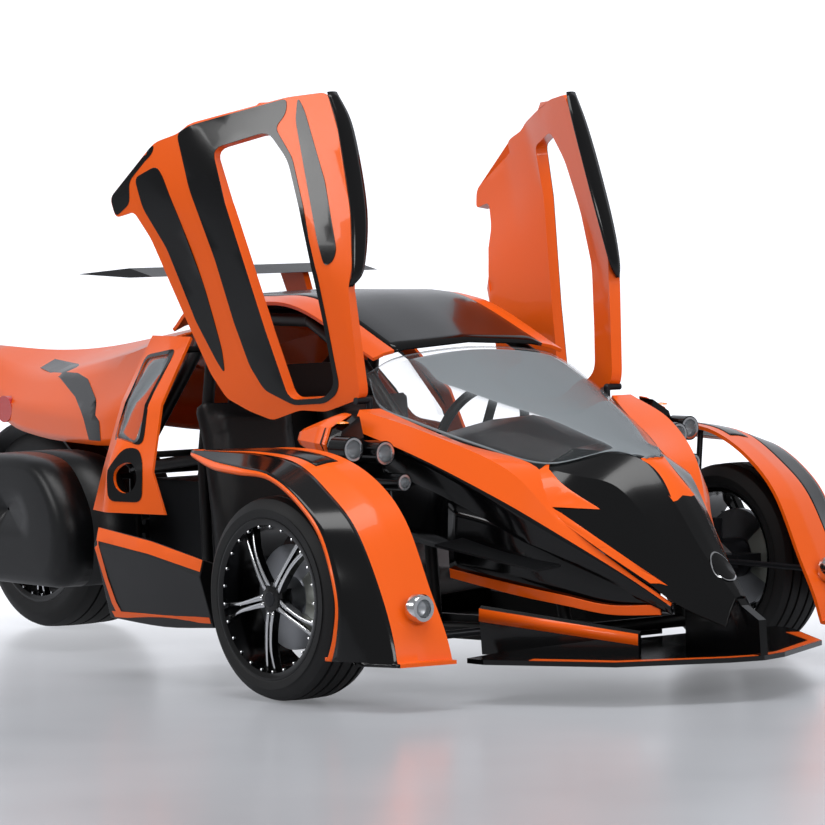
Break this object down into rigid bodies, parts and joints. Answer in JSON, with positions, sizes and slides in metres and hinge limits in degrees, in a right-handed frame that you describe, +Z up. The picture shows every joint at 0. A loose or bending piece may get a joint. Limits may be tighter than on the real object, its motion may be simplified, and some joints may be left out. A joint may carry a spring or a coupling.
{
  "type": "two-seat reverse trike",
  "caption": "Low open two-seat reverse trike with cycle fenders, raked windscreen, scissor doors that open upward, panniers and a rear wing.",
  "frame": {"origin": "on the floor below the middle of the vehicle's length and width", "axes": "+Z up, nose towards -Y, the vehicle's left side towards +X"},
  "size_m": [1.97, 3.746, 1.7391],
  "materials": {
    "tyre": "moulded rubber",
    "rim_black": "gloss black with bright spokes",
    "disc_steel": "ground",
    "cast_steel": "satin",
    "caliper_silver": "anodised",
    "gloss_black": "gloss",
    "lamp_glass": "clear",
    "frame_paint": "satin",
    "satin_black": "satin",
    "engine_alloy": "cast",
    "clear_glass": "clear grey",
    "orange_paint": "gloss",
    "lamp_red": "clear red",
    "moulded_black": "moulded",
    "black_steel": "satin",
    "seat_vinyl": "satin",
    "grip_leather": "satin"
  },
  "bodies": {
    "root": {"bulkhead": "satin_black", "dash_panel": "satin_black", "door_hinges": "black_steel", "engine_block": "engine_alloy", "floor_pan": "satin_black", "frame_brackets": "frame_paint", "frame_crosses": "frame_paint", "frame_left": "frame_paint", "frame_right": "frame_paint", "headlamps": "lamp_glass", "lamp_pods": "gloss_black", "nose_flanks": "gloss_black", "nose_hood": "gloss_black", "pannier_boxes": "moulded_black", "quarter_glass": "clear_glass", "quarter_panels": "orange_paint", "rear_hugger": "moulded_black", "rear_wing": "moulded_black", "roof_panel": "orange_paint", "seats": "seat_vinyl", "side_pods": "satin_black", "splitter": "gloss_black", "steering_column": "black_steel", "swingarm": "cast_steel", "tail_body": "orange_paint", "tail_lamps": "lamp_red", "windscreen": "clear_glass", "wing_posts": "orange_paint", "winglets": "moulded_black", "wishbones": "cast_steel"},
    "left_knuckle": {"caliper_left": "caliper_silver", "fender_left": "gloss_black", "fog_lamp_left": "lamp_glass", "knuckle_left": "cast_steel"},
    "right_knuckle": {"caliper_right": "caliper_silver", "fender_right": "gloss_black", "fog_lamp_right": "lamp_glass", "knuckle_right": "cast_steel"},
    "front_left_wheel": {"disc_front_left": "disc_steel", "rim_front_left": "rim_black", "tyre_front_left": "tyre"},
    "front_right_wheel": {"disc_front_right": "disc_steel", "rim_front_right": "rim_black", "tyre_front_right": "tyre"},
    "rear_wheel": {"disc_rear": "disc_steel", "rim_rear": "rim_black", "tyre_rear": "tyre"},
    "left_door": {"door_left": "orange_paint"},
    "right_door": {"door_right": "orange_paint"},
    "steering": {"steering_wheel": "grip_leather"},
    "left_lid": {"pannier_lid_left": "moulded_black"},
    "right_lid": {"pannier_lid_right": "moulded_black"}
  },
  "joints": [
    {"name": "steer_left", "type": "hinge", "parent": "root", "child": "left_knuckle", "pos_m": [0.75, -0.87, 0.293], "axis": [0, 0, 1], "range_deg": [-22, 22]},
    {"name": "steer_right", "type": "hinge", "parent": "root", "child": "right_knuckle", "pos_m": [-0.75, -0.87, 0.293], "axis": [0, 0, 1], "range_deg": [-22, 22]},
    {"name": "steering_wheel_turn", "type": "hinge", "parent": "root", "child": "steering", "pos_m": [0.235, -0.4, 0.69], "axis": [0, 0.9135, 0.4067], "range_deg": [-264, 264]},
    {"name": "front_left_spin", "type": "hinge", "parent": "left_knuckle", "child": "front_left_wheel", "pos_m": [0.874, -0.87, 0.293], "axis": [1, 0, 0], "continuous": true},
    {"name": "front_right_spin", "type": "hinge", "parent": "right_knuckle", "child": "front_right_wheel", "pos_m": [-0.874, -0.87, 0.293], "axis": [1, 0, 0], "continuous": true},
    {"name": "rear_spin", "type": "hinge", "parent": "root", "child": "rear_wheel", "pos_m": [0, 1.45, 0.332], "axis": [1, 0, 0], "continuous": true},
    {"name": "door_left_swing", "type": "hinge", "parent": "root", "child": "left_door", "pos_m": [0.5, -0.72, 0.83], "axis": [1, 0, 0], "range_deg": [-60, 0]},
    {"name": "door_right_swing", "type": "hinge", "parent": "root", "child": "right_door", "pos_m": [-0.5, -0.72, 0.83], "axis": [1, 0, 0], "range_deg": [-60, 0]},
    {"name": "lid_left_swing", "type": "hinge", "parent": "root", "child": "left_lid", "pos_m": [0.505, 0.91, 0.205], "axis": [0, 1, 0], "range_deg": [0, 75]},
    {"name": "lid_right_swing", "type": "hinge", "parent": "root", "child": "right_lid", "pos_m": [-0.505, 0.91, 0.205], "axis": [0, -1, 0], "range_deg": [0, 75]}
  ],
  "couplings": [
    {"joint": "steer_right", "follows": "steer_left", "ratio": 1},
    {"joint": "steering_wheel_turn", "follows": "steer_left", "ratio": 12}
  ]
}
